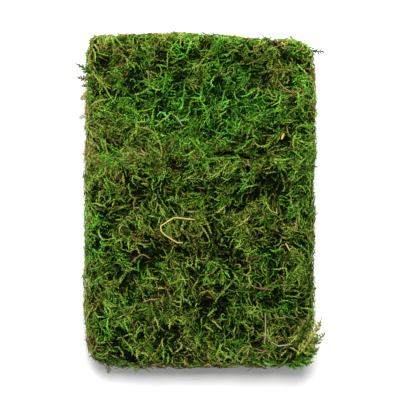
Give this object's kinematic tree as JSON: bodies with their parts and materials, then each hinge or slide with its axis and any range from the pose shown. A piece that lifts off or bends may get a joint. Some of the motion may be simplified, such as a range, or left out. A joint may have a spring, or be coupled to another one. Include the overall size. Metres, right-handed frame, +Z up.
{
  "type": "moss clump",
  "caption": "Pressed brick of preserved sheet moss with loose straws and roots, for floral and terrarium dressing.",
  "frame": {"origin": "on the flat underside, midway between the outermost points across and along", "axes": "+Y runs along the length towards the end under the upper mat, +X across it, +Z up out of the moss"},
  "size_m": [0.187, 0.2698, 0.053],
  "materials": {
    "moss_olive": "olive and yellow-green feathery shoots, slightly waxy",
    "moss_green": "bright green feathery shoots, slightly waxy",
    "straw": "smooth dry golden grass straw",
    "pale_stem": "dull pale dry stem",
    "root": "matt reddish brown root",
    "bark": "rough brown bark",
    "needle": "dark dry needle",
    "dry_leaf": "thin dry yellow leaf"
  },
  "bodies": {
    "root": {"lower_mat": "moss_olive", "upper_mat": "moss_green", "bent_straw": "straw", "straw_scrap": "straw", "pale_stem": "pale_stem", "grey_stem": "pale_stem", "tan_root": "pale_stem", "brown_stem": "root", "red_twig": "root", "curved_root": "root", "forked_root": "root", "brown_twig": "bark", "bark_chip": "bark", "dark_needle": "needle", "leaf_scrap": "dry_leaf"}
  },
  "joints": []
}
